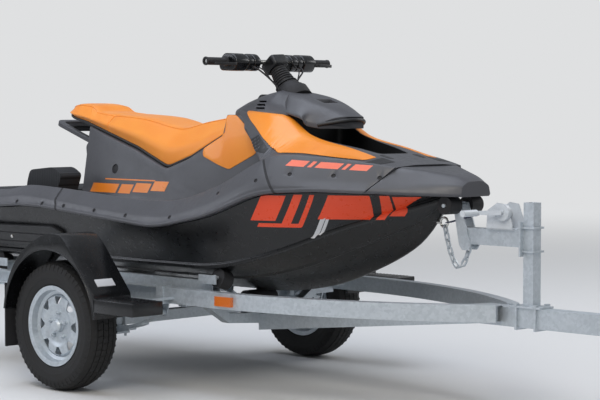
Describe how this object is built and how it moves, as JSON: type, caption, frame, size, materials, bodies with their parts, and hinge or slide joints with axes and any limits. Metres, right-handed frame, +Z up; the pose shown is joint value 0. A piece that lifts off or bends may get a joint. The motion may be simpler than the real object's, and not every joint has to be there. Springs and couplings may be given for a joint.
{
  "type": "personal watercraft on trailer",
  "caption": "Three-seat personal watercraft with steered jet drive, held on a single-axle roller trailer with winch post, mudguards and a jack wheel.",
  "frame": {"origin": "middle of the whole's outline, at the ground under the tyres and the jack wheel", "axes": "+X towards the bow and the coupling, +Y to port, +Z up"},
  "size_m": [4.2114, 1.81, 1.5196],
  "materials": {
    "deck_plastic": "moulded, satin",
    "hull_shell": "moulded, smooth",
    "black_trim": "moulded, fine grain",
    "orange_panel": "moulded, glossy",
    "seat_vinyl": "soft vinyl, satin",
    "traction_foam": "grooved foam, matt",
    "galvanised_steel": "hot-dip galvanised, dull",
    "stainless_steel": "polished",
    "cast_aluminium": "cast, satin",
    "guard_plastic": "gloss",
    "tyre_rubber": "matt",
    "black_rubber": "matt",
    "red_lens": "clear gloss",
    "amber_lens": "clear gloss",
    "winch_paint": "gloss",
    "navy_webbing": "woven"
  },
  "bodies": {
    "craft_and_trailer": {"deck": "deck_plastic", "gunwale_stern": "deck_plastic", "gunwale_mid": "deck_plastic", "gunwale_bow": "deck_plastic", "nose_cap": "deck_plastic", "side_panels": "orange_panel", "knee_panels": "orange_panel", "hood_cowl": "deck_plastic", "deflector": "orange_panel", "seat": "seat_vinyl", "deck_pads": "traction_foam", "grab_handle": "black_trim", "hull": "hull_shell", "engine": "cast_aluminium", "sponsons": "black_trim", "eyes": "stainless_steel", "ride_plate": "cast_aluminium", "intake_grate": "cast_aluminium", "pump_housing": "cast_aluminium", "axle": "galvanised_steel", "leaf_springs": "galvanised_steel", "spring_hangers": "galvanised_steel", "rails_rear": "galvanised_steel", "rail_front_right": "galvanised_steel", "rail_front_left": "galvanised_steel", "chassis_plates": "galvanised_steel", "drawbar": "galvanised_steel", "cross_members": "galvanised_steel", "skid_beams": "galvanised_steel", "rollers": "black_rubber", "roller_brackets": "galvanised_steel", "mudguard_right": "guard_plastic", "mudguard_left": "guard_plastic", "mud_flaps": "black_rubber", "winch_post": "galvanised_steel", "winch_arm": "galvanised_steel", "winch": "winch_paint", "winch_strap": "navy_webbing", "safety_chain": "galvanised_steel", "coupling": "galvanised_steel", "jockey_clamp": "galvanised_steel", "rear_lamps": "red_lens", "side_lamps": "amber_lens"},
    "wheel_right": {"tyre_right": "tyre_rubber", "wheel_right": "galvanised_steel"},
    "wheel_left": {"tyre_left": "tyre_rubber", "wheel_left": "galvanised_steel"},
    "steering": {"steering_column": "black_trim", "handlebar": "stainless_steel", "control_pods": "black_trim", "grips": "black_rubber"},
    "nozzle": {"steering_nozzle": "cast_aluminium"},
    "bucket": {"reverse_bucket": "black_trim"},
    "impeller": {"impeller": "stainless_steel"},
    "jack_leg": {"jockey_leg": "galvanised_steel"},
    "jack_fork": {"jockey_fork": "galvanised_steel"},
    "jack_wheel": {"jockey_wheel": "black_rubber"}
  },
  "joints": [
    {"name": "wheel_right_spin", "type": "hinge", "parent": "craft_and_trailer", "child": "wheel_right", "pos_m": [-0.7907, -0.79, 0.2925], "axis": [0, 1, 0], "continuous": true},
    {"name": "wheel_left_spin", "type": "hinge", "parent": "craft_and_trailer", "child": "wheel_left", "pos_m": [-0.7907, 0.79, 0.2925], "axis": [0, 1, 0], "continuous": true},
    {"name": "steering_turn", "type": "hinge", "parent": "craft_and_trailer", "child": "steering", "pos_m": [-0.1487, 0, 1.352], "axis": [-0.6357, 0, 0.7719], "range_deg": [-20, 20]},
    {"name": "nozzle_yaw", "type": "hinge", "parent": "craft_and_trailer", "child": "nozzle", "pos_m": [-1.9157, 0, 0.565], "axis": [0, 0, 1], "range_deg": [-18, 18]},
    {"name": "bucket_drop", "type": "hinge", "parent": "craft_and_trailer", "child": "bucket", "pos_m": [-1.9157, 0, 0.565], "axis": [0, -1, 0], "range_deg": [0, 85]},
    {"name": "impeller_spin", "type": "hinge", "parent": "craft_and_trailer", "child": "impeller", "pos_m": [-1.6307, 0, 0.565], "axis": [1, 0, 0], "continuous": true},
    {"name": "jack_slide", "type": "slide", "parent": "craft_and_trailer", "child": "jack_leg", "axis": [0, 0, 1], "range_m": [0, 0.16]},
    {"name": "jack_swivel", "type": "hinge", "parent": "jack_leg", "child": "jack_fork", "pos_m": [1.6393, 0.073, 0.2], "axis": [0, 0, 1], "continuous": true},
    {"name": "jack_wheel_spin", "type": "hinge", "parent": "jack_fork", "child": "jack_wheel", "pos_m": [1.6613, 0.073, 0.1], "axis": [0, 1, 0], "continuous": true}
  ],
  "couplings": [
    {"joint": "nozzle_yaw", "follows": "steering_turn", "ratio": -0.9}
  ]
}
